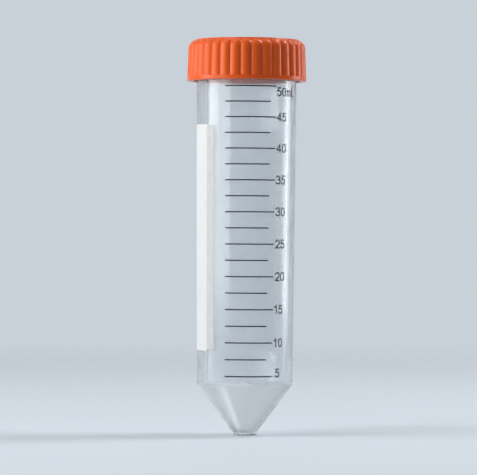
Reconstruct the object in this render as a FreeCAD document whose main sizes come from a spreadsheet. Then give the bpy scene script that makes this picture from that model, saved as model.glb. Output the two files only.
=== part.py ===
import FreeCAD, Part
import math
import os

import Sketcher

# A 50 ml conical centrifuge tube and its screw cap, in millimetres.
#
# The tube is one polypropylene moulding: a slightly tapered body, a conical bottom whose wall keeps
# its thickness, and a small flat foot that it stands on. The cap is one polyethylene moulding: a
# skirt with 34 grip ribs above a smooth band, a flat top that the ribs' domed ends run out to, and
# on the inside a ring that plugs the tube's mouth. The screw thread of both isn't in this model.
#
# The frame: +Z runs up the axis, and the origin is the middle of the flat foot.

BEVEL = "bevel"

DRIVING_SIZES = [
    # The tube
    ("tube_length", 114.9, "flat foot to rim"),
    ("rim_diameter", 29.5, "outside, at the rim"),
    ("shoulder_diameter", 28.1, "outside, where the cone begins"),
    ("shoulder_height", 15.2, "flat foot to the top of the cone"),
    ("shoulder_round", 1.5, "between cone and body, outside and inside"),
    ("foot_diameter", 7.0, "outside, at the tip"),
    ("foot_height", 0.9, "straight part below the cone"),
    ("foot_bevel", 0.3, "edge that touches the bench"),
    ("tube_wall", 1.3, "square to the surface, body and cone alike"),
    ("floor_thickness", 1.5, "under the bottom of the inside cone"),
    ("tip_round", 1.5, "bottom of the inside cone"),
    ("rim_bevel", 0.3, "both edges of the mouth"),
    ("gate_diameter", 2.6, "dimple where the plastic entered the mould, on tube and cap"),
    ("gate_depth", 0.25, "keeps the gate's stub inside the dimple"),
    # The cap
    ("cap_height", 12.2, "skirt edge to flat top"),
    ("top_thickness", 1.6, "flat top, which the rim seals against"),
    ("thread_room", 1.05, "neck to the inside of the skirt"),
    ("skirt_wall", 1.48, "top of the skirt's inside to the crest of a rib, where its dome begins"),
    ("skirt_draft", 0.5, "degrees, inside of the skirt"),
    ("skirt_lead", 0.3, "chamfer inside the skirt's edge"),
    ("corner_run", 1.9, "crest of a rib to the edge of the flat top"),
    ("inner_bevel", 0.5, "where the inside walls meet the flat top"),
    ("rib_count", 34, "grip ribs round the skirt"),
    ("rib_round", 2.6, "radius of a rib's rounded face, and of the dome at its top"),
    ("rib_draft", 2.0, "degrees that a rib leans, its foot outwards"),
    ("rib_fade", 0.1, "flat top to the highest point of a rib's dome, just under it"),
    ("valley_gap", 0.04, "bottom of a valley between ribs to the plain skirt behind it"),
    ("band_height", 1.2, "smooth band below the ribs"),
    ("band_step", 0.06, "band proud of the rib crests"),
    ("band_bevel", 0.2, "lower edge of the band"),
    ("plug_clearance", 0.12, "plug ring to the inside of the mouth"),
    ("plug_wall", 0.9, "thickness of the plug ring"),
    ("plug_depth", 2.4, "length of the plug ring"),
    ("plug_bevel", 0.3, "tip of the plug ring, so that it finds the mouth"),
    ("plug_root_bevel", 0.2, "root of the plug ring, small enough for the rim to seat"),
    ("cap_turn", 4.5, "degrees that the cap is turned on the tube"),
]

# The tube's sizes that follow from the driving ones.
RIM_RADIUS = "Sizes.rim_diameter / 2"
SHOULDER_RADIUS = "Sizes.shoulder_diameter / 2"
FOOT_RADIUS = "Sizes.foot_diameter / 2"
CONE_SLOPE = f"(({SHOULDER_RADIUS} - {FOOT_RADIUS}) / (Sizes.shoulder_height - Sizes.foot_height))"
CONE_WALL_ACROSS = f"(Sizes.tube_wall * sqrt(1 + {CONE_SLOPE} ^ 2))"

# The cap's, measured from its own axis and from the skirt's edge.
UNDERSIDE = "(Sizes.cap_height - Sizes.top_thickness)"
SKIRT_INSIDE = f"({RIM_RADIUS} + Sizes.thread_room)"
PLUG_OUTSIDE = f"({RIM_RADIUS} - Sizes.tube_wall - Sizes.plug_clearance)"
PLUG_INSIDE = f"({PLUG_OUTSIDE} - Sizes.plug_wall)"
PLUG_TIP = f"({UNDERSIDE} - Sizes.plug_depth)"
CREST_RADIUS = f"({SKIRT_INSIDE} + Sizes.skirt_wall)"

# A rib is a round post with a domed top. These hold at the height of the dome's centre.
DOME_CENTRE = "(Sizes.cap_height - Sizes.rib_fade - Sizes.rib_round)"
RIB_AXIS = f"({CREST_RADIUS} - Sizes.rib_round)"
HALF_PITCH = "180 / Sizes.rib_count"
VALLEY_RADIUS = (
    f"({RIB_AXIS} * cos({HALF_PITCH})"
    f" + sqrt(Sizes.rib_round ^ 2 - ({RIB_AXIS} * sin({HALF_PITCH})) ^ 2))"
)


def leaned(radius, height):
    """A radius on the ribs, carried from the dome's centre down to a height on the cap."""
    return f"({radius} + ({DOME_CENTRE} - {height}) * tan(Sizes.rib_draft))"


def behind_valley(height):
    """Radius of the plain skirt, just inside the line where two neighbouring ribs meet."""
    return f"({leaned(VALLEY_RADIUS, height)} - Sizes.valley_gap)"


def make_sheet(doc):
    """The sheet of driving sizes: each one's words, its number and its alias."""
    sheet = doc.addObject("Spreadsheet::Sheet", "Sizes")
    for row, (alias, value, words) in enumerate(DRIVING_SIZES, start=1):
        sheet.set(f"A{row}", words)
        sheet.set(f"B{row}", str(value))
        sheet.setAlias(f"B{row}", alias)
    doc.recompute()


def origin_feature(body, role):
    """One of the body's own origin planes or axes."""
    return next(item for item in body.Origin.OriginFeatures if item.Role == role)


def attach(sketch, body, role):
    sketch.AttachmentSupport = [(origin_feature(body, role), "")]
    sketch.MapMode = "FlatFace"


def tie(sketch, point, radius, height):
    """Ties a point of the sketch to its radius and height, which are expressions."""
    for kind, axis, size in (("DistanceX", -2, radius), ("DistanceY", -1, height)):
        if size == "0":
            sketch.addConstraint(Sketcher.Constraint("PointOnObject", *point, axis))
        else:
            value = float(sketch.evalExpression(size))
            index = sketch.addConstraint(Sketcher.Constraint(kind, -1, 1, *point, value))
            sketch.setExpression(f"Constraints[{index}]", size)


def add_section(body, name, corners):
    """A closed outline in the body's XZ plane, to be turned about the vertical axis.

    Each corner is (radius, height), or (radius, height, size) where an arc rounds it off, or
    (radius, height, size, BEVEL) where a flat does. The sizes are expressions.
    """
    sketch = body.newObject("Sketcher::SketchObject", name)
    attach(sketch, body, "XZ_Plane")

    numbers = [[float(sketch.evalExpression(size)) for size in corner[:3]] for corner in corners]
    places = [FreeCAD.Vector(radius, height, 0) for radius, height, *_ in numbers]
    for line, place in enumerate(places):
        sketch.addGeometry(Part.LineSegment(places[line - 1], place))
    for line in range(len(places)):
        before = (line - 1) % len(places)
        sketch.addConstraint(Sketcher.Constraint("Coincident", before, 2, line, 1))

    for line, (radius, height, *corner_cut) in enumerate(corners):
        if not corner_cut:
            tie(sketch, (line, 2), radius, height)
            continue
        arc = sketch.GeometryCount
        sketch.fillet(line, 2, numbers[line][2], True, True, BEVEL in corner_cut)
        index = sketch.addConstraint(Sketcher.Constraint("Radius", arc, numbers[line][2]))
        sketch.setExpression(f"Constraints[{index}]", corner_cut[0])
        tie(sketch, (arc + 1, 1), radius, height)
    return sketch


def add_rib_section(body):
    """The outer half of a rib's round section, across its leaning axis, at the dome's centre."""
    sketch = body.newObject("Sketcher::SketchObject", "rib_section")
    attach(sketch, body, "XY_Plane")
    lean = FreeCAD.Rotation(FreeCAD.Vector(0, 1, 0), -1)
    sketch.AttachmentOffset = FreeCAD.Placement(FreeCAD.Vector(0, 0, 0), lean)
    sketch.setExpression(".AttachmentOffset.Base.x", RIB_AXIS)
    sketch.setExpression(".AttachmentOffset.Base.z", DOME_CENTRE)
    sketch.setExpression(".AttachmentOffset.Rotation.Angle", "-Sizes.rib_draft")

    size = float(sketch.evalExpression("Sizes.rib_round"))
    circle = Part.Circle(FreeCAD.Vector(0, 0, 0), FreeCAD.Vector(0, 0, 1), size)
    arc = sketch.addGeometry(Part.ArcOfCircle(circle, -math.pi / 2, math.pi / 2))
    flat = sketch.addGeometry(
        Part.LineSegment(FreeCAD.Vector(0, size, 0), FreeCAD.Vector(0, -size, 0))
    )
    sketch.addConstraint(Sketcher.Constraint("Coincident", arc, 3, -1, 1))
    sketch.addConstraint(Sketcher.Constraint("Coincident", arc, 2, flat, 1))
    sketch.addConstraint(Sketcher.Constraint("Coincident", flat, 2, arc, 1))
    sketch.addConstraint(Sketcher.Constraint("Vertical", flat))
    sketch.addConstraint(Sketcher.Constraint("PointOnObject", flat, 1, -2))
    index = sketch.addConstraint(Sketcher.Constraint("Radius", arc, size))
    sketch.setExpression(f"Constraints[{index}]", "Sizes.rib_round")
    return sketch


def add_first_rib(body):
    """The rib's post, which runs down into the band, and the dome that closes its top."""
    section = add_rib_section(body)
    post = body.newObject("PartDesign::Pad", "rib_post")
    post.Profile = section
    post.Reversed = True
    post.setExpression("Length", f"{DOME_CENTRE} - Sizes.band_height / 2")
    dome = turn(body, "Revolution", "rib_dome", section, angle=90)
    dome.Reversed = True
    return [post, dome]


def turn(body, kind, name, sketch, angle=360):
    """A Revolution or a Groove: the sketch turned about its own vertical axis."""
    feature = body.newObject(f"PartDesign::{kind}", name)
    feature.Profile = sketch
    feature.ReferenceAxis = (sketch, ["V_Axis"])
    feature.Angle = angle
    sketch.Visibility = False
    return feature


def add_gate_dimple(body, name, height, from_below):
    """The shallow round dimple in a flat end of a moulding, where the plastic came in."""
    sketch = body.newObject("Sketcher::SketchObject", f"{name}_circle")
    attach(sketch, body, "XY_Plane")
    sketch.setExpression(".AttachmentOffset.Base.z", height)
    radius = float(sketch.evalExpression("Sizes.gate_diameter / 2"))
    sketch.addGeometry(Part.Circle(FreeCAD.Vector(0, 0, 0), FreeCAD.Vector(0, 0, 1), radius))
    sketch.addConstraint(Sketcher.Constraint("Coincident", 0, 3, -1, 1))
    sketch.addConstraint(Sketcher.Constraint("Diameter", 0, 2 * radius))
    sketch.setExpression("Constraints[1]", "Sizes.gate_diameter")
    dimple = body.newObject("PartDesign::Pocket", name)
    dimple.Profile = sketch
    dimple.setExpression("Length", "Sizes.gate_depth")
    dimple.Reversed = from_below
    sketch.Visibility = False
    return dimple


def build_tube(doc):
    """The tube: one section turned about the axis, and the gate's dimple in its foot."""
    tube = doc.addObject("PartDesign::Body", "tube")
    tube.Label = "tube"
    tube.Placement = FreeCAD.Placement()

    cone_inside_at_floor = (
        f"{FOOT_RADIUS} + (Sizes.floor_thickness - Sizes.foot_height) * {CONE_SLOPE}"
        f" - {CONE_WALL_ACROSS}"
    )
    inside_shoulder_height = (
        f"Sizes.shoulder_height + ({CONE_WALL_ACROSS} - Sizes.tube_wall) / {CONE_SLOPE}"
    )
    section = add_section(tube, "tube_section", [
        ("0", "0"),
        (FOOT_RADIUS, "0", "Sizes.foot_bevel", BEVEL),
        (FOOT_RADIUS, "Sizes.foot_height"),
        (SHOULDER_RADIUS, "Sizes.shoulder_height", "Sizes.shoulder_round"),
        (RIM_RADIUS, "Sizes.tube_length", "Sizes.rim_bevel", BEVEL),
        (f"{RIM_RADIUS} - Sizes.tube_wall", "Sizes.tube_length", "Sizes.rim_bevel", BEVEL),
        (f"{SHOULDER_RADIUS} - Sizes.tube_wall", inside_shoulder_height, "Sizes.shoulder_round"),
        (cone_inside_at_floor, "Sizes.floor_thickness", "Sizes.tip_round"),
        ("0", "Sizes.floor_thickness"),
    ])
    turn(tube, "Revolution", "tube_wall_solid", section)
    add_gate_dimple(tube, "tube_gate", "0", from_below=True)
    return tube


def build_cap(doc):
    """The cap: a plain solid, a ring of domed ribs fused to it, then the inside cut away."""
    cap = doc.addObject("PartDesign::Body", "cap")
    cap.Label = "cap"

    band_radius = f"{leaned(CREST_RADIUS, 'Sizes.band_height')} + Sizes.band_step"
    blank = add_section(cap, "blank_section", [
        ("0", "0"),
        (band_radius, "0", "Sizes.band_bevel", BEVEL),
        (band_radius, "Sizes.band_height"),
        (behind_valley("Sizes.band_height"), "Sizes.band_height"),
        (behind_valley(DOME_CENTRE), DOME_CENTRE),
        (f"{CREST_RADIUS} - Sizes.corner_run", "Sizes.cap_height"),
        ("0", "Sizes.cap_height"),
    ])
    turn(cap, "Revolution", "blank", blank)

    first_rib = add_first_rib(cap)

    ribs = cap.newObject("PartDesign::PolarPattern", "ribs")
    ribs.Originals = first_rib
    ribs.Axis = (origin_feature(cap, "Z_Axis"), [""])
    ribs.Angle = 360
    ribs.setExpression("Occurrences", "Sizes.rib_count")
    cap.Tip = ribs

    inside = add_section(cap, "inside_section", [
        ("0", "0"),
        (f"{SKIRT_INSIDE} + {UNDERSIDE} * tan(Sizes.skirt_draft) + Sizes.skirt_lead", "0"),
        (
            f"{SKIRT_INSIDE} + ({UNDERSIDE} - Sizes.skirt_lead) * tan(Sizes.skirt_draft)",
            "Sizes.skirt_lead",
        ),
        (SKIRT_INSIDE, UNDERSIDE, "Sizes.inner_bevel", BEVEL),
        (PLUG_OUTSIDE, UNDERSIDE, "Sizes.plug_root_bevel", BEVEL),
        (PLUG_OUTSIDE, PLUG_TIP, "Sizes.plug_bevel", BEVEL),
        (PLUG_INSIDE, PLUG_TIP, "Sizes.plug_bevel", BEVEL),
        (PLUG_INSIDE, UNDERSIDE, "Sizes.inner_bevel", BEVEL),
        ("0", UNDERSIDE),
    ])
    turn(cap, "Groove", "inside", inside)
    add_gate_dimple(cap, "cap_gate", "Sizes.cap_height", from_below=False)

    cap.Placement = FreeCAD.Placement(
        FreeCAD.Vector(0, 0, 0), FreeCAD.Rotation(FreeCAD.Vector(0, 0, 1), 1)
    )
    cap.setExpression(".Placement.Rotation.Angle", "Sizes.cap_turn")
    cap.setExpression(".Placement.Base.z", f"Sizes.tube_length - {UNDERSIDE}")
    return cap


def check_built(doc, bodies):
    """Stops if anything failed, or if a cut or a pattern changed nothing."""
    for item in doc.Objects:
        if "Invalid" in item.State or "Error" in item.State:
            raise RuntimeError(f"{item.Name} failed: {item.State}")
    for body in bodies:
        if body.Shape.isNull() or not body.Shape.isValid() or len(body.Shape.Solids) != 1:
            raise RuntimeError(f"{body.Label} isn't one valid solid")
        features = [item for item in body.Group if item.isDerivedFrom("PartDesign::Feature")]
        for before, after in zip(features, features[1:]):
            change = after.Shape.Volume - before.Shape.Volume
            cuts = after.TypeId in ("PartDesign::Groove", "PartDesign::Pocket")
            if (change >= 0) if cuts else (change <= 0):
                raise RuntimeError(f"{after.Name} changed the volume by {change:.4f} mm3")


doc = FreeCAD.newDocument("conical_tube")
make_sheet(doc)
bodies = [build_tube(doc), build_cap(doc)]
doc.recompute()
check_built(doc, bodies)

os.makedirs("parts", exist_ok=True)
for body in bodies:
    body.Shape.exportStep(f"parts/{body.Label}.step")
    box = body.Shape.BoundBox
    print(
        f"{body.Label}: {body.Shape.Volume / 1000:.3f} cm3, {len(body.Shape.Faces)} faces,"
        f" z {box.ZMin:.2f} to {box.ZMax:.2f} mm, {box.XLength:.2f} mm across"
    )
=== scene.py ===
# %% [markdown]
# # A 50 ml conical tube
#
# A sample tube as a laboratory keeps it on the shelf: a clear, slightly milky moulding with a
# conical end, a printed scale of volumes, a white patch to write on, and an orange screw cap.
# The solid parts arrive ready made, in metres, standing on the origin. This file gives them their
# finish and adds what is too fine for them: the screw threads and the print.
#
# Each step says first what the piece is, how it could be made, and why this way was chosen.

from math import atan2, copysign, cos, pi, radians, sin, tau

import bmesh
import bpy
from mathutils import Matrix, Vector


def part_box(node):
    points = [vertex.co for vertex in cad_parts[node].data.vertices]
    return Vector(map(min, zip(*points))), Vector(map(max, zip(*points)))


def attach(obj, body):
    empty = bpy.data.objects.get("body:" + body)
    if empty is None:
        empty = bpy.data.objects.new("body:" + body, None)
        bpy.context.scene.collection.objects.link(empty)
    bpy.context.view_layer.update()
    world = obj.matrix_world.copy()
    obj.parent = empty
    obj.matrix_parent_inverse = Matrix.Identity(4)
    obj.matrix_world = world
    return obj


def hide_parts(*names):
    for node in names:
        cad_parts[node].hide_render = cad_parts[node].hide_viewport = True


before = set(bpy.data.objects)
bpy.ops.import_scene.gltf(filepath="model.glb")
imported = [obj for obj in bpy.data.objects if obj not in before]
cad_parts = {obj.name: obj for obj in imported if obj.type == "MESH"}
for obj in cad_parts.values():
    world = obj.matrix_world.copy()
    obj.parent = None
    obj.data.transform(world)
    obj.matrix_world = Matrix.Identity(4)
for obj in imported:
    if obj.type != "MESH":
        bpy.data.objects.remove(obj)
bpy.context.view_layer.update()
tube_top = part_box("tube")[1].z
cap_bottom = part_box("cap")[0].z
MM = 0.001
print("tube stands", round(tube_top / MM, 1), "mm tall, cap starts at", round(cap_bottom / MM, 1))

# %% [markdown]
# ## The camera
#
# A tall thin thing looks right through a long lens, level, from about a metre away: a short lens
# close by would splay its sides. The lens, the distance and a very slight roll are plain values.

# %% Camera
EYE_HEIGHT = 58.3 * MM
EYE_SIDE = -2.12 * MM
EYE_DISTANCE = 943.6 * MM
LENS = 241.5
SENSOR = 36
ROLL = radians(-0.38)
NEAREST_SEEN = 10 * MM

camera_data = bpy.data.cameras.new("camera")
camera_data.lens = LENS
camera_data.sensor_width = SENSOR
camera_data.clip_start = NEAREST_SEEN
camera = bpy.data.objects.new("camera", camera_data)
camera.location = (EYE_SIDE, -EYE_DISTANCE, EYE_HEIGHT)
camera.rotation_euler = (pi / 2, ROLL, 0)
bpy.context.scene.collection.objects.link(camera)
bpy.context.scene.camera = camera
bpy.context.scene.view_settings.view_transform = "Standard"
print("camera at", [round(value, 4) for value in camera.location])

# %% [markdown]
# ## The floor and the room
#
# Clear plastic shows mostly what stands behind it, so the room matters as much as the material.
# A wall would have an edge that the tube bends into view. Here the floor is a wide disc that fades
# out into the room's own pale light, so no edge or horizon shows from any side, and it still
# carries the shadow.

# %% Node helpers


def new_material(name):
    """A material with an empty node tree apart from its output."""
    material = bpy.data.materials.new(name)
    material.use_nodes = True
    nodes = material.node_tree.nodes
    nodes.clear()
    nodes.new("ShaderNodeOutputMaterial")
    return material


def add_node(tree, kind, **settings):
    """Adds a shader node, sets its properties and, for names with a capital, its inputs."""
    node = tree.nodes.new(kind)
    for name, value in settings.items():
        if name[0].isupper():
            node.inputs[name.replace("_", " ")].default_value = value
        else:
            setattr(node, name, value)
    return node


def mix_shaders(tree, share, below, above):
    """The shader below where the share is 0, and the one above where it is 1."""
    mix = add_node(tree, "ShaderNodeMixShader")
    for socket, source in zip(mix.inputs, (share, below.outputs[0], above.outputs[0])):
        tree.links.new(source, socket)
    return mix.outputs[0]


def seen_directly(tree):
    """1 for what is seen straight, through plastic or in its gloss, and 0 for what lights it."""
    light_path = add_node(tree, "ShaderNodeLightPath")
    seen = light_path.outputs["Is Camera Ray"]
    for ray in ("Is Transmission Ray", "Is Glossy Ray"):
        either = add_node(tree, "ShaderNodeMath", operation="MAXIMUM")
        tree.links.new(seen, either.inputs[0])
        tree.links.new(light_path.outputs[ray], either.inputs[1])
        seen = either.outputs[0]
    return seen


# %% Room
# The pale colour is what the room looks like. The fill is the weak light that it sheds.
PALE = (0.58, 0.635, 0.69, 1.0)
FILL = (0.018, 0.019, 0.020, 1.0)

world = bpy.data.worlds.new("room")
bpy.context.scene.world = world
world.use_nodes = True
tree = world.node_tree
tree.nodes.clear()
room_output = add_node(tree, "ShaderNodeOutputWorld")
shown = add_node(tree, "ShaderNodeBackground", Color=PALE, Strength=1.0)
fill = add_node(tree, "ShaderNodeBackground", Color=FILL, Strength=1.0)
tree.links.new(mix_shaders(tree, seen_directly(tree), fill, shown), room_output.inputs["Surface"])
print("room made")

# %% Floor material
# The floor is solid round the tube and has faded out before it ends. Its lift is the share of the
# room's own colour that is added to it.
FLOOR_COLOR = (0.54, 0.585, 0.63, 1.0)
FLOOR_SOLID = 0.25
FLOOR_GONE = 0.85
FLOOR_LIFT = 0.36

floor_material = new_material("pale_floor")
tree = floor_material.node_tree
place = add_node(tree, "ShaderNodeTexCoord")
distance = add_node(tree, "ShaderNodeVectorMath", operation="LENGTH")
fade = add_node(
    tree, "ShaderNodeMapRange", interpolation_type="SMOOTHSTEP",
    From_Min=FLOOR_SOLID, From_Max=FLOOR_GONE, To_Min=1.0, To_Max=0.0,
)
tree.links.new(place.outputs["Object"], distance.inputs[0])
tree.links.new(distance.outputs["Value"], fade.inputs["Value"])

card = add_node(
    tree, "ShaderNodeBsdfPrincipled", Base_Color=FLOOR_COLOR, Roughness=0.6,
    Specular_IOR_Level=0.05, Emission_Color=PALE,
)
lift = add_node(tree, "ShaderNodeMath", operation="MULTIPLY")
lift.inputs[1].default_value = FLOOR_LIFT
tree.links.new(seen_directly(tree), lift.inputs[0])
tree.links.new(lift.outputs[0], card.inputs["Emission Strength"])

clear = add_node(tree, "ShaderNodeBsdfTransparent")
faded_card = mix_shaders(tree, fade.outputs["Result"], clear, card)
tree.links.new(faded_card, tree.nodes["Material Output"].inputs["Surface"])
print("floor fades out between", FLOOR_SOLID, "and", FLOOR_GONE, "m")

# %% Floor
FLOOR_RADIUS = 2.5
FLOOR_SIDES = 96


def finish_piece(name, shape, material, smooth_angle=None):
    """Turns a bmesh into an object at the origin, smooth except where faces meet sharply."""
    if smooth_angle is not None:
        for face in shape.faces:
            face.smooth = True
        for edge in shape.edges:
            edge.smooth = len(edge.link_faces) != 2 or edge.calc_face_angle() < smooth_angle
    triangles = sum(len(face.verts) - 2 for face in shape.faces)
    open_edges = sum(len(edge.link_faces) != 2 for edge in shape.edges)
    print(name, "has", triangles, "triangles and", open_edges, "open edges")
    mesh = bpy.data.meshes.new(name)
    shape.to_mesh(mesh)
    shape.free()
    mesh.materials.append(material)
    piece = bpy.data.objects.new(name, mesh)
    bpy.context.scene.collection.objects.link(piece)
    return piece


disc = bmesh.new()
bmesh.ops.create_circle(disc, cap_ends=True, radius=FLOOR_RADIUS, segments=FLOOR_SIDES)
floor = finish_piece("floor", disc, floor_material)

# %% [markdown]
# ## The lamps
#
# Six soft boxes. Two tall ones stand side by side on the left and do most of the work: one is
# stronger than the other, so the bright band that they make in the tube ends in a soft step. A
# tall narrow one stands to the right and a little behind, where a round clear wall throws it back
# as one long bright streak. A smaller one high on the right lights that side of the cap, and a very
# small one high on the left puts glints on the domes of its ribs. A wide weak one overhead lights
# the floor and opens up the shadows.

# %% Lamps
# Each lamp: its azimuth in degrees, from the camera's side to the right, then its height, distance,
# width and length in metres, and its watts.
LAMPS = {
    "key_softbox": (-82, 0.26, 0.90, 0.48, 0.90, 5.8),
    "second_softbox": (-52, 0.26, 0.90, 0.45, 0.90, 3.1),
    "streak_softbox": (110.5, 0.16, 0.85, 0.37, 0.66, 2.3),
    "side_softbox": (105, 0.80, 0.60, 0.36, 0.36, 4.0),
    "dome_softbox": (-55, 1.05, 0.55, 0.08, 0.08, 1.6),
    "top_softbox": (180, 1.30, 0.20, 1.00, 1.00, 1.5),
}


def add_softbox(name, azimuth, height, distance, width, length, watts):
    """A rectangular lamp that faces the middle of the tube."""
    data = bpy.data.lights.new(name, "AREA")
    data.shape = "RECTANGLE"
    data.size = width
    data.size_y = length
    data.energy = watts
    lamp = bpy.data.objects.new(name, data)
    lamp.location = (distance * sin(radians(azimuth)), -distance * cos(radians(azimuth)), height)
    aim = Vector((0, 0, tube_top / 2)) - lamp.location
    lamp.rotation_euler = aim.to_track_quat("-Z", "Y").to_euler()
    bpy.context.scene.collection.objects.link(lamp)


for name, values in LAMPS.items():
    add_softbox(name, *values)
print(len(LAMPS), "lamps")

# %% [markdown]
# ## The plastics' fine surface
#
# No moulding is a perfect mirror. Its skin has a slow waviness from shrinking in the mould, and a
# very fine grain from the mould's own surface. All the plastics share one node group that turns the
# piece's own coordinates into a bumped normal and a slightly uneven roughness.

# %% Node group helpers


def new_group(name, inputs, outputs):
    """A node group with sockets, given as name and kind, and the nodes at its two ends."""
    group = bpy.data.node_groups.new(name, "ShaderNodeTree")
    for in_out, sockets in (("INPUT", inputs), ("OUTPUT", outputs)):
        for socket, kind in sockets.items():
            group.interface.new_socket(name=socket, in_out=in_out, socket_type=f"NodeSocket{kind}")
    return group, add_node(group, "NodeGroupInput"), add_node(group, "NodeGroupOutput")


def noise_of_size(group, size, **settings):
    """A noise over the piece's own coordinates, with features as large as the size."""
    coordinates = add_node(group, "ShaderNodeTexCoord")
    scale = add_node(group, "ShaderNodeMath", operation="DIVIDE")
    scale.inputs[0].default_value = 1.0
    noise = add_node(group, "ShaderNodeTexNoise", **settings)
    group.links.new(size, scale.inputs[1])
    group.links.new(coordinates.outputs["Object"], noise.inputs["Vector"])
    group.links.new(scale.outputs[0], noise.inputs["Scale"])
    return noise


def bump_of_depth(group, noise, depth):
    """A bump in the surface, as deep as the depth, that follows a noise."""
    bump = add_node(group, "ShaderNodeBump", Strength=1.0)
    group.links.new(noise.outputs["Fac"], bump.inputs["Height"])
    group.links.new(depth, bump.inputs["Distance"])
    return bump


def multiply_add(group, value, factor, added):
    """The value times the factor, and what is added to that."""
    node = add_node(group, "ShaderNodeMath", operation="MULTIPLY_ADD")
    for socket, source in zip(node.inputs, (value, factor, added)):
        group.links.new(source, socket)
    return node.outputs[0]


# %% Node group: moulded skin
NOISE_MIDDLE = 0.5


def build_moulded_skin():
    """Outputs a normal and a roughness that vary over a moulded surface."""
    group, inputs, outputs = new_group(
        "moulded_skin",
        {
            "Wave Size": "Float", "Wave Depth": "Float", "Grain Size": "Float",
            "Grain Depth": "Float", "Roughness": "Float", "Unevenness": "Float",
        },
        {"Normal": "Vector", "Roughness": "Float"},
    )
    wave = noise_of_size(group, inputs.outputs["Wave Size"], Detail=1.0, Roughness=0.4)
    grain = noise_of_size(group, inputs.outputs["Grain Size"], Detail=3.0, Roughness=0.6)
    wave_bump = bump_of_depth(group, wave, inputs.outputs["Wave Depth"])
    grain_bump = bump_of_depth(group, grain, inputs.outputs["Grain Depth"])
    group.links.new(wave_bump.outputs["Normal"], grain_bump.inputs["Normal"])
    group.links.new(grain_bump.outputs["Normal"], outputs.inputs["Normal"])

    centred = add_node(group, "ShaderNodeMath", operation="SUBTRACT")
    centred.inputs[1].default_value = NOISE_MIDDLE
    group.links.new(wave.outputs["Fac"], centred.inputs[0])
    uneven = multiply_add(
        group, centred.outputs[0], inputs.outputs["Unevenness"], inputs.outputs["Roughness"]
    )
    group.links.new(uneven, outputs.inputs["Roughness"])
    return group


moulded_skin = build_moulded_skin()
print("moulded_skin has", len(moulded_skin.nodes), "nodes")

# %% Shader helpers


def principled(material, **settings):
    """The material's Principled shader, joined to its output."""
    tree = material.node_tree
    shader = add_node(tree, "ShaderNodeBsdfPrincipled", **settings)
    tree.links.new(shader.outputs[0], tree.nodes["Material Output"].inputs["Surface"])
    return shader


def add_surface(material, shader, group, **values):
    """Places a node group in the material. Each output feeds the shader's input of that name."""
    tree = material.node_tree
    surface = add_node(tree, "ShaderNodeGroup", node_tree=group, **values)
    for output in surface.outputs:
        tree.links.new(output, shader.inputs[output.name])


# %% [markdown]
# ## The tube's plastic
#
# Natural polypropylene passes light but scatters a little of it inside the wall, which gives the
# milky look. Volume scattering would do that exactly and costs a lot of time. A glass-like shader
# with a tenth of its light scattered just under the surface looks the same on a thin wall: it
# spreads sideways as it does in the real plastic. A sheen adds the haze of a wall seen edge-on.
#
# The cone's part of the mould is polished more finely, so it has a smoother plastic of its own. Its
# slanting wall is seen through a greater thickness, so it has more of the haze.

# %% Tube plastic


def clear_plastic(name, color, sheen, sheen_roughness, **skin):
    """Natural polypropylene: nine tenths of its light passes, and the rest scatters inside."""
    material = new_material(name)
    shader = principled(
        material, Base_Color=color, IOR=1.49, Transmission_Weight=0.90,
        Subsurface_Weight=1.0, Subsurface_Scale=2 * MM, Subsurface_Radius=(1, 1, 1),
        Sheen_Weight=sheen, Sheen_Roughness=sheen_roughness,
    )
    add_surface(material, shader, moulded_skin, **skin)
    return material


tube_plastic = clear_plastic(
    "tube_plastic", (0.92, 0.95, 0.97, 1.0), sheen=0.5, sheen_roughness=0.4,
    Wave_Size=9 * MM, Wave_Depth=0.004 * MM, Grain_Size=0.5 * MM, Grain_Depth=0.0003 * MM,
    Roughness=0.09, Unevenness=0.06,
)
cone_plastic = clear_plastic(
    "cone_plastic", (0.96, 0.975, 0.98, 1.0), sheen=1.0, sheen_roughness=0.45,
    Wave_Size=9 * MM, Wave_Depth=0.002 * MM, Grain_Size=0.5 * MM, Grain_Depth=0.0002 * MM,
    Roughness=0.03, Unevenness=0.03,
)
print("made", tube_plastic.name, "and", cone_plastic.name)

# %% [markdown]
# ## The cap's plastic
#
# The cap is dyed right through and opaque, with a soft gloss. Light could be scattered under its
# surface as in the tube, but that blurs the edges of the ribs, so its colour is plain. Its skin is
# wavier than the tube's, which breaks up the reflections of the lamps.

# %% Cap plastic
cap_plastic = new_material("cap_plastic")
shader = principled(
    cap_plastic, Base_Color=(0.95, 0.124, 0.006, 1.0), IOR=1.5, Specular_IOR_Level=0.28
)
add_surface(
    cap_plastic, shader, moulded_skin,
    Wave_Size=4 * MM, Wave_Depth=0.02 * MM, Grain_Size=0.25 * MM, Grain_Depth=0.002 * MM,
    Roughness=0.19, Unevenness=0.08,
)
cap_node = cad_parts["cap"]
cap_node.data.materials.clear()
cap_node.data.materials.append(cap_plastic)
print("the cap has", cap_plastic.name)

# %% [markdown]
# ## The inks
#
# Ink lies on the plastic as a thin layer that is never quite even: it is a little thinner in places,
# and its surface is slightly rough. One node group serves all the inks. It gives each its two tones,
# the roughness and a faint bump.

# %% Node group: printed ink
# The Mix node has a set of sockets for each kind of data. These are the ones for colours.
MIX_SHARE, MIX_FROM, MIX_TO = 0, 6, 7
MIX_RESULT = 2


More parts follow.
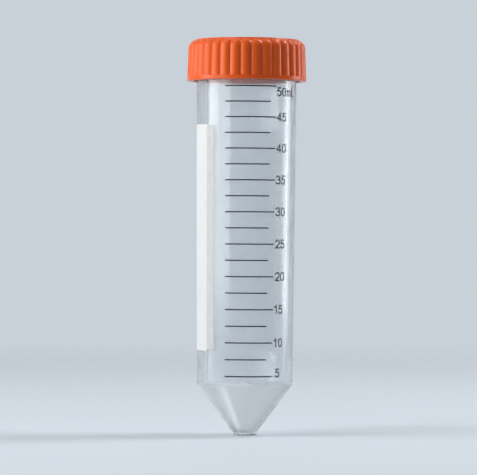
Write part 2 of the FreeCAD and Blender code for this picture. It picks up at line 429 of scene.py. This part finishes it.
def build_printed_ink():
    """Outputs an ink's colour, roughness and normal, which vary over fractions of a millimetre."""
    group, inputs, outputs = new_group(
        "printed_ink",
        {
            "Full Color": "Color", "Thin Color": "Color", "Patch Size": "Float",
            "Bump Depth": "Float", "Roughness": "Float", "Unevenness": "Float",
        },
        {"Base Color": "Color", "Roughness": "Float", "Normal": "Vector"},
    )
    patches = noise_of_size(group, inputs.outputs["Patch Size"], Detail=4.0, Roughness=0.65)
    thin = add_node(group, "ShaderNodeMapRange", From_Min=0.35, From_Max=0.75)
    group.links.new(patches.outputs["Fac"], thin.inputs["Value"])

    tones = add_node(group, "ShaderNodeMix", data_type="RGBA")
    group.links.new(thin.outputs["Result"], tones.inputs[MIX_SHARE])
    group.links.new(inputs.outputs["Full Color"], tones.inputs[MIX_FROM])
    group.links.new(inputs.outputs["Thin Color"], tones.inputs[MIX_TO])
    group.links.new(tones.outputs[MIX_RESULT], outputs.inputs["Base Color"])

    uneven = multiply_add(
        group, thin.outputs["Result"], inputs.outputs["Unevenness"], inputs.outputs["Roughness"]
    )
    group.links.new(uneven, outputs.inputs["Roughness"])
    bump = bump_of_depth(group, patches, inputs.outputs["Bump Depth"])
    group.links.new(bump.outputs["Normal"], outputs.inputs["Normal"])
    return group


printed_ink = build_printed_ink()
print("printed_ink has", len(printed_ink.nodes), "nodes")

# %% Ink materials


def ink_material(name, settings, **values):
    """An ink: the settings go to its shader, and the values to the ink's node group."""
    material = new_material(name)
    add_surface(material, principled(material, **settings), printed_ink, **values)
    return material


black_ink = ink_material(
    "black_ink", {"Specular_IOR_Level": 0.15},
    Full_Color=(0.008, 0.010, 0.016, 1.0), Thin_Color=(0.030, 0.033, 0.042, 1.0),
    Patch_Size=0.6 * MM, Bump_Depth=0.004 * MM, Roughness=0.45, Unevenness=0.15,
)
white_ink = ink_material(
    "white_ink", {"Alpha": 0.95, "Specular_IOR_Level": 0.35},
    Full_Color=(0.92, 0.925, 0.92, 1.0), Thin_Color=(0.86, 0.87, 0.87, 1.0),
    Patch_Size=3 * MM, Bump_Depth=0.010 * MM, Roughness=0.5, Unevenness=0.1,
)
# The greyer white of the strip along the patch's front edge.
greyer_white_ink = ink_material(
    "greyer_white_ink", {"Alpha": 0.95, "Specular_IOR_Level": 0.35},
    Full_Color=(0.77, 0.775, 0.77, 1.0), Thin_Color=(0.70, 0.71, 0.71, 1.0),
    Patch_Size=2 * MM, Bump_Depth=0.012 * MM, Roughness=0.55, Unevenness=0.1,
)
print("made", black_ink.name, white_ink.name, "and", greyer_white_ink.name)

# %% [markdown]
# ## The tube's own section
#
# The tube is a round moulding, so one section holds its whole shape. It is read off the solid part
# by cutting that in half, twice: that way the two can't differ. The same section then gives the
# wall's radius at any height, which is where the print goes.

# %% Read the section
MERGE = 0.5e-6
FLAT_ANGLE = radians(0.05)


def half_section(node):
    """The outline of a round part's section on its +X side, as a bmesh of loose edges.

    The first cut, along the axis, clears both sides of itself. The second clears the -X half.
    """
    outline = bmesh.new()
    outline.from_mesh(node.data)
    bmesh.ops.remove_doubles(outline, verts=outline.verts, dist=MERGE)
    for normal, both in (((0, 1, 0), True), ((1, 0, 0), False)):
        everything = outline.verts[:] + outline.edges[:] + outline.faces[:]
        bmesh.ops.bisect_plane(
            outline, geom=everything, dist=MERGE, plane_co=(0, 0, 0), plane_no=normal,
            clear_outer=both, clear_inner=True,
        )
    return outline


def drop_straight_points(outline):
    """Removes the points along straight runs, which the section doesn't need."""
    straight = []
    for vert in outline.verts:
        if len(vert.link_edges) == 2:
            before, after = (edge.other_vert(vert).co - vert.co for edge in vert.link_edges)
            if before.angle(-after, 0) < FLAT_ANGLE:
                straight.append(vert)
    bmesh.ops.dissolve_verts(outline, verts=straight)


def wall_radii(outline, height):
    """Radii at which the section's outline crosses a height, smallest first."""
    radii = []
    for edge in outline.edges:
        low, high = sorted((vert.co for vert in edge.verts), key=lambda place: place.z)
        if low.z <= height < high.z:
            radii.append(low.lerp(high, (height - low.z) / (high.z - low.z)).x)
    return sorted(radii)


def outer_radius(height):
    """The tube's outside radius at a height."""
    return wall_radii(section, height)[-1]


section = half_section(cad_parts["tube"])
drop_straight_points(section)
mid_height_radii = [round(radius / MM, 3) for radius in wall_radii(section, tube_top / 2)]
print("tube section has", len(section.verts), "points and", len(section.edges), "edges")
print("the wall at mid height lies between the radii", mid_height_radii)

# %% [markdown]
# ## The neck's thread
#
# The thread is moulded in one with the tube, and light passes through both, so it can't be a
# separate ridge stuck on: its hidden side would show. The section is turned round the axis with
# fine rows on the neck, and the rows are then pushed outwards along a helix.

# %% Thread sizes
# The run-out is the part of a turn over which the thread rises to its full height at each end.
PITCH = 3.2 * MM
THREAD_HALF_FOOT = 0.75 * MM
THREAD_HALF_CREST = 0.25 * MM
THREAD_RUN_OUT = 0.12
NECK_THREAD_TURNS = (0.0, 1.9)
NECK_THREAD_START = tube_top - 8.4 * MM
NECK_THREAD_HEIGHT = 0.72 * MM


def along_thread(place, start_height):
    """Turns from the thread's start, and height above its middle line, of a point on the helix."""
    part_turn = (atan2(place.y, place.x) / tau) % 1.0
    turns = part_turn + round((place.z - start_height) / PITCH - part_turn)
    return turns, place.z - start_height - turns * PITCH


def ease(value):
    """0 below 0, 1 above 1, and a smooth step between."""
    value = min(max(value, 0.0), 1.0)
    return value * value * (3 - 2 * value)


def thread_share(turns, first, last):
    """How much of the thread's height stands at a point along it: it runs out at both ends."""
    return ease((turns - first) / THREAD_RUN_OUT) * ease((last - turns) / THREAD_RUN_OUT)


def ridge_share(offset):
    """The ridge's own rounded form, across the thread."""
    return ease((THREAD_HALF_FOOT - abs(offset)) / (THREAD_HALF_FOOT - THREAD_HALF_CREST))


print("the neck's thread starts", round(NECK_THREAD_START / MM, 1), "mm up")

# %% Turn the tube
TURN_STEPS = 192
NECK_ROWS = 84
first, last = NECK_THREAD_TURNS
NECK_LOW = NECK_THREAD_START - PITCH / 2
NECK_HIGH = NECK_THREAD_START + (last + 0.5) * PITCH

moulding = section.copy()
for height in (NECK_LOW, NECK_HIGH):
    bmesh.ops.bisect_plane(
        moulding, geom=moulding.verts[:] + moulding.edges[:], dist=MERGE,
        plane_co=(0, 0, height), plane_no=(0, 0, 1),
    )
mid_wall = sum(wall_radii(section, NECK_LOW)) / 2
neck_edges = [
    edge for edge in moulding.edges
    if all(
        NECK_LOW - MERGE <= vert.co.z <= NECK_HIGH + MERGE and vert.co.x > mid_wall
        for vert in edge.verts
    )
]
bmesh.ops.subdivide_edges(moulding, edges=neck_edges, cuts=NECK_ROWS)
bmesh.ops.spin(
    moulding, geom=moulding.verts[:] + moulding.edges[:], cent=(0, 0, 0), axis=(0, 0, 1),
    angle=tau, steps=TURN_STEPS, use_merge=True,
)
bmesh.ops.remove_doubles(moulding, verts=moulding.verts, dist=MERGE)
bmesh.ops.recalc_face_normals(moulding, faces=moulding.faces)
print("turned in", TURN_STEPS, "steps, with", NECK_ROWS + 1, "rows of faces on the neck")

# %% Raise the thread
raised = 0
for vert in moulding.verts:
    radius = vert.co.xy.length
    if radius > mid_wall and NECK_LOW < vert.co.z < NECK_HIGH:
        turns, offset = along_thread(vert.co, NECK_THREAD_START)
        if first < turns < last:
            rise = NECK_THREAD_HEIGHT * ridge_share(offset) * thread_share(turns, first, last)
            vert.co.xy *= (radius + rise) / radius
            raised += rise > 0
print("the thread raises", raised, "points of the neck")

# %% Finish the tube
# The first material is the body's. The second is the cone's, up to the shoulder's rounding.
SHOULDER = 15.6 * MM
TUBE_SMOOTH = radians(28)

for face in moulding.faces:
    face.material_index = int(face.calc_center_median().z < SHOULDER)
tube_moulding = finish_piece("tube_moulding", moulding, tube_plastic, TUBE_SMOOTH)
tube_moulding.data.materials.append(cone_plastic)
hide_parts("tube")
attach(tube_moulding, "tube")

# %% [markdown]
# ## The cap's thread
#
# Inside the skirt runs the matching ridge, half a pitch away. The cap is opaque, so here a
# separate ridge with its foot sunk in the wall does no harm. A short section is turned and lifted
# at the same time, as a screw is cut, and its ends are pulled back into the wall.

# %% Cap thread
CAP_THREAD_START = NECK_THREAD_START - PITCH / 2
CAP_THREAD_TURNS = (0.15, 1.85)
CAP_THREAD_HEIGHT = 0.85 * MM
CAP_FOOT_SUNK = 0.15 * MM
SKIRT_MEASURED = 3 * MM
RIDGE_STEPS_PER_TURN = 120

skirt_section = half_section(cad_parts["cap"])
skirt_radius = wall_radii(skirt_section, cap_bottom + SKIRT_MEASURED)[0]
skirt_section.free()
foot_radius = skirt_radius + CAP_FOOT_SUNK
crest_radius = skirt_radius - CAP_THREAD_HEIGHT
first, last = CAP_THREAD_TURNS
middle = CAP_THREAD_START + first * PITCH

ridge = bmesh.new()
corners = [
    ridge.verts.new((radius, 0, middle + height))
    for radius, height in (
        (foot_radius, -THREAD_HALF_FOOT),
        (crest_radius, -THREAD_HALF_CREST),
        (crest_radius, THREAD_HALF_CREST),
        (foot_radius, THREAD_HALF_FOOT),
    )
]
start_face = ridge.faces.new(corners)
bmesh.ops.rotate(
    ridge, verts=ridge.verts, cent=(0, 0, 0), matrix=Matrix.Rotation(first * tau, 3, "Z")
)
steps = round((last - first) * RIDGE_STEPS_PER_TURN)
bmesh.ops.spin(
    ridge, geom=[start_face], cent=(0, 0, 0), axis=(0, 0, 1),
    dvec=(0, 0, (last - first) * PITCH / steps), angle=(last - first) * tau, steps=steps,
)
bmesh.ops.recalc_face_normals(ridge, faces=ridge.faces)
print("the skirt's inside radius is", round(skirt_radius / MM, 2), "mm")

# %% Run out the ridge's ends
LOWEST_SHARE = 0.1
RIDGE_SMOOTH = radians(50)

for vert in ridge.verts:
    turns, offset = along_thread(vert.co, CAP_THREAD_START)
    share = LOWEST_SHARE + (1 - LOWEST_SHARE) * thread_share(turns, first, last)
    radius = vert.co.xy.length
    vert.co.xy *= (foot_radius - (foot_radius - radius) * share) / radius
cap_thread = finish_piece("cap_thread", ridge, cap_plastic, RIDGE_SMOOTH)
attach(cap_thread, "cap")

# %% [markdown]
# ## The printed scale
#
# The print is ink rolled onto the outside. A picture wrapped round the tube would be easy and
# would blur close up. Here every mark is a thin skin of ink, a few hundredths of a millimetre
# thick, bent to the wall. The lowest and the highest line have places of their own. Between them
# the lines stand as far apart as the bore asks for, since each step holds the same volume.

# %% Ink sizes and helpers
INK_GAP = 0.008 * MM
INK_THICKNESS = 0.03 * MM
INK_STEP = radians(2)
INK_SMOOTH = radians(30)


def add_band(shape, start, end, low, high, gap=INK_GAP):
    """A thin closed skin on the tube's outside, between two azimuths and two heights."""
    corners = [
        shape.verts.new((0, -(outer_radius(height) + lift), height))
        for height, lift in (
            (low, gap), (low, gap + INK_THICKNESS), (high, gap + INK_THICKNESS), (high, gap),
        )
    ]
    face = shape.faces.new(corners)
    bmesh.ops.rotate(shape, verts=corners, cent=(0, 0, 0), matrix=Matrix.Rotation(start, 3, "Z"))
    steps = max(1, round(abs(end - start) / INK_STEP))
    bmesh.ops.spin(
        shape, geom=[face], cent=(0, 0, 0), axis=(0, 0, 1), angle=end - start, steps=steps,
    )


def bore_area(height):
    """Area inside the tube at a height."""
    return pi * wall_radii(section, height)[0] ** 2


# %% Graduation heights
STEP_VOLUME = 2.5e-6
FIRST_LINE = 17.85 * MM
LAST_LINE = 102.45 * MM
LINES = 19

# Each step is measured twice: roughly from the bore at its lower line, then from that at its middle.
heights = [FIRST_LINE]
for number in range(1, LINES):
    half_way = heights[-1] + STEP_VOLUME / bore_area(heights[-1]) / 2
    heights.append(heights[-1] + STEP_VOLUME / bore_area(half_way))
stretch = (LAST_LINE - FIRST_LINE) / (heights[-1] - heights[0])
heights = [FIRST_LINE + (height - FIRST_LINE) * stretch for height in heights]
print("steps of", round(STEP_VOLUME * 1e6, 1), "ml, all stretched by", round(stretch, 4))
print("lines from", round(heights[0] / MM, 2), "to", round(heights[-1] / MM, 2), "mm")

# %% Graduation lines
# Long and short lines take turns, and both grow a little from the lowest line to the highest.
LINE_THICKNESS = 0.34 * MM
LINE_START = radians(-24.8)
LONG_LINE_END = (radians(33.3), radians(36.0))
SHORT_LINE_END = (radians(25.3), radians(28.7))

lines = bmesh.new()
for number, height in enumerate(heights):
    bottom_end, top_end = SHORT_LINE_END if number % 2 else LONG_LINE_END
    end = bottom_end + (top_end - bottom_end) * number / (LINES - 1)
    add_band(lines, LINE_START, end, height - LINE_THICKNESS / 2, height + LINE_THICKNESS / 2)
bmesh.ops.recalc_face_normals(lines, faces=lines.faces)
scale_lines = finish_piece("scale_lines", lines, black_ink, INK_SMOOTH)
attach(scale_lines, "tube")

# %% [markdown]
# ## The numbers
#
# A ready font would do for a heading, but a printed scale has plain narrow figures of one stroke
# width. Each figure is drawn as the strokes of a flat pen: a curve with the pen's own section as its
# bevel. Only the characters that the scale needs are drawn.

# %% Number shapes
NUMBER_HEIGHT = 2.6 * MM
PEN_WIDTH = 0.35 * MM
LETTER_GAP = 0.28 * MM
WORD_GAP = 0.15 * MM
ARC_STEP = 18
ROUNDNESS = 0.86


def arc(across, up, half_wide, half_tall, start, end):
    """Points round an oval, between two angles in degrees. It is a true oval at a roundness of 1."""
    steps = round(abs(end - start) / ARC_STEP)
    points = []
    for step in range(steps + 1):
        angle = radians(start + (end - start) * step / steps)
        side = copysign(abs(cos(angle)) ** ROUNDNESS, cos(angle))
        rise = copysign(abs(sin(angle)) ** ROUNDNESS, sin(angle))
        points.append((across + half_wide * side, up + half_tall * rise))
    return points


# Each character: its width as a share of the height, then its strokes in a box of 1 by 1.
LETTERS = {
    "0": (0.52, [arc(0.5, 0.5, 0.5, 0.5, 0, 360)]),
    "1": (0.30, [[(0.5, 0), (0.5, 1)], [(0.45, 0.93), (-0.2, 0.78)]]),
    "2": (0.52, [arc(0.5, 0.71, 0.49, 0.29, 170, -30) + [(0.07, 0.06)], [(0, 0), (1, 0)]]),
    "3": (0.52, [arc(0.46, 0.77, 0.46, 0.23, 162, -90), arc(0.46, 0.27, 0.54, 0.27, 90, -162)]),
    "4": (0.58, [[(0.74, 0), (0.74, 1)], [(0.68, 0.95), (0.05, 0.32)], [(0, 0.27), (1, 0.27)]]),
    "5": (0.52, [
        [(0.93, 1), (0.17, 1)],
        [(0.17, 0.96), (0.1, 0.56)],
        arc(0.47, 0.32, 0.53, 0.32, 112, -160),
    ]),
    "m": (0.74, [
        [(0, 0), (0, 0.68)],
        arc(0.27, 0.45, 0.23, 0.23, 150, 0) + [(0.5, 0)],
        arc(0.77, 0.45, 0.23, 0.23, 150, 0) + [(1, 0)],
    ]),
    "L": (0.44, [[(0, 0), (0, 1)], [(0.05, 0), (1, 0)]]),
}
print(len(LETTERS), "characters")

# %% Writing with the pen


def make_pen():
    """The pen's own section: as wide as a stroke and as thick as the ink."""
    curve = bpy.data.curves.new("pen", "CURVE")
    spline = curve.splines.new("POLY")
    spline.points.add(3)
    spline.use_cyclic_u = True
    for point, (side, lift) in zip(spline.points, ((-1, -1), (1, -1), (1, 1), (-1, 1))):
        point.co = (side * PEN_WIDTH / 2, lift * INK_THICKNESS / 2, 0, 1)
    pen = bpy.data.objects.new("pen", curve)
    bpy.context.scene.collection.objects.link(pen)
    return pen


def add_stroke(curve, points):
    """A stroke of the pen through the points. Unless it closes, it runs half a pen past its ends."""
    places = [Vector((*point, 0)) for point in points]
    closed = (places[0] - places[-1]).length < MERGE
    if closed:
        places.pop()
    else:
        places[0] += (places[0] - places[1]).normalized() * PEN_WIDTH / 2
        places[-1] += (places[-1] - places[-2]).normalized() * PEN_WIDTH / 2
    spline = curve.splines.new("POLY")
    spline.use_cyclic_u = closed
    spline.points.add(len(places) - 1)
    for point, place in zip(spline.points, places):
        point.co = (*place, 1)


def write_words(words, pen):
    """Flat words as closed strokes of ink: x along from the first stroke's left edge, y up, z out."""
    curve = bpy.data.curves.new("words", "CURVE")
    curve.dimensions = "3D"
    curve.twist_mode = "Z_UP"
    curve.bevel_mode = "OBJECT"
    curve.bevel_object = pen
    curve.use_fill_caps = True
    left = PEN_WIDTH / 2
    stroke_height = NUMBER_HEIGHT - PEN_WIDTH
    for letter in words:
        if letter == " ":
            left += WORD_GAP
            continue
        wide, strokes = LETTERS[letter]
        for stroke in strokes:
            add_stroke(curve, [
                (left + across * wide * NUMBER_HEIGHT, PEN_WIDTH / 2 + up * stroke_height)
                for across, up in stroke
            ])
        left += wide * NUMBER_HEIGHT + PEN_WIDTH + LETTER_GAP
    holder = bpy.data.objects.new("words", curve)
    bpy.context.scene.collection.objects.link(holder)
    bpy.context.view_layer.update()
    drawn = holder.evaluated_get(bpy.context.evaluated_depsgraph_get())
    mesh = bpy.data.meshes.new_from_object(drawn)
    bpy.data.objects.remove(holder)
    shape = bmesh.new()
    shape.from_mesh(mesh)
    bpy.data.meshes.remove(mesh)
    bmesh.ops.remove_doubles(shape, verts=shape.verts, dist=MERGE)
    return shape


# %% Bending words onto the tube
COLUMN = 0.4 * MM


def wrap_words(shape, start, bottom):
    """Cuts the words into narrow columns and bends them onto the tube."""
    right = max(vert.co.x for vert in shape.verts)
    for column in range(1, int(right / COLUMN) + 1):
        bmesh.ops.bisect_plane(
            shape, geom=shape.verts[:] + shape.edges[:] + shape.faces[:], dist=MERGE,
            plane_co=(column * COLUMN, 0, 0), plane_no=(1, 0, 0),
        )
    for vert in shape.verts:
        along, up, out = vert.co
        wall = outer_radius(bottom + up)
        angle = start + along / wall
        radius = wall + INK_GAP + INK_THICKNESS / 2 + out
        vert.co = (radius * sin(angle), -radius * cos(angle), bottom + up)


# %% Numbers
# Every second line has a number, centred on it or nearly so. The lowest number stands on its line
# and the highest, which has the unit, hangs from it.
NUMBER_START = radians(37.0)
FIRST_NUMBER_START = radians(38.2)
NUMBER_RAISED = 0.07 * MM
END_NUMBERS_LOWERED = 0.3 * MM
MILLILITRES_PER_NUMBER = 5

pen = make_pen()
numbers = bmesh.new()
for number, height in enumerate(heights[::2]):
    words = str(MILLILITRES_PER_NUMBER * (number + 1))
    start = NUMBER_START
    bottom = height - NUMBER_HEIGHT / 2 + NUMBER_RAISED
    if number == 0:
        start = FIRST_NUMBER_START
        bottom = height - END_NUMBERS_LOWERED
    if number == LINES // 2:
        words += " mL"
        bottom = height - NUMBER_HEIGHT - END_NUMBERS_LOWERED
    shape = write_words(words, pen)
    wrap_words(shape, start, bottom)
    mesh = bpy.data.meshes.new("word")
    shape.to_mesh(mesh)
    shape.free()
    numbers.from_mesh(mesh)
    bpy.data.meshes.remove(mesh)
bpy.data.objects.remove(pen)
bmesh.ops.recalc_face_normals(numbers, faces=numbers.faces)
scale_numbers = finish_piece("scale_numbers", numbers, black_ink)
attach(scale_numbers, "tube")

# %% [markdown]
# ## The writing patch
#
# A white patch to write on, round the left side. It has a greyer strip along its front edge: a
# greyer layer of white ink reaches a little further round than the whiter layer laid over it.
# One skin would need a mask for its two tones. Two skins, made as the lines
# are and laid one over the other, show the strip by themselves.

# %% Patch
# Each layer: the azimuth of its front edge, its lowest and its highest point.
PATCH_BACK = radians(-130.7)
GREYER_LAYER = (radians(-40.4), 25.6 * MM, 91.1 * MM)
WHITER_LAYER = (radians(-52.0), 25.1 * MM, 91.4 * MM)
LAYERS_GAP = 0.01 * MM


def add_patch_layer(name, extent, ink, gap):
    """One layer of the patch, from the back edge that both share. The gap is to the wall."""
    front, low, high = extent
    shape = bmesh.new()
    add_band(shape, PATCH_BACK, front, low, high, gap)
    bmesh.ops.recalc_face_normals(shape, faces=shape.faces)
    piece = finish_piece(name, shape, ink, INK_SMOOTH)
    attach(piece, "tube")


# The greyer layer goes on first. The whiter one lies over it and stops short of its front edge.
add_patch_layer("patch_greyer_layer", GREYER_LAYER, greyer_white_ink, INK_GAP)
add_patch_layer("patch_whiter_layer", WHITER_LAYER, white_ink, INK_GAP + INK_THICKNESS + LAYERS_GAP)

# %% The end
section.free()
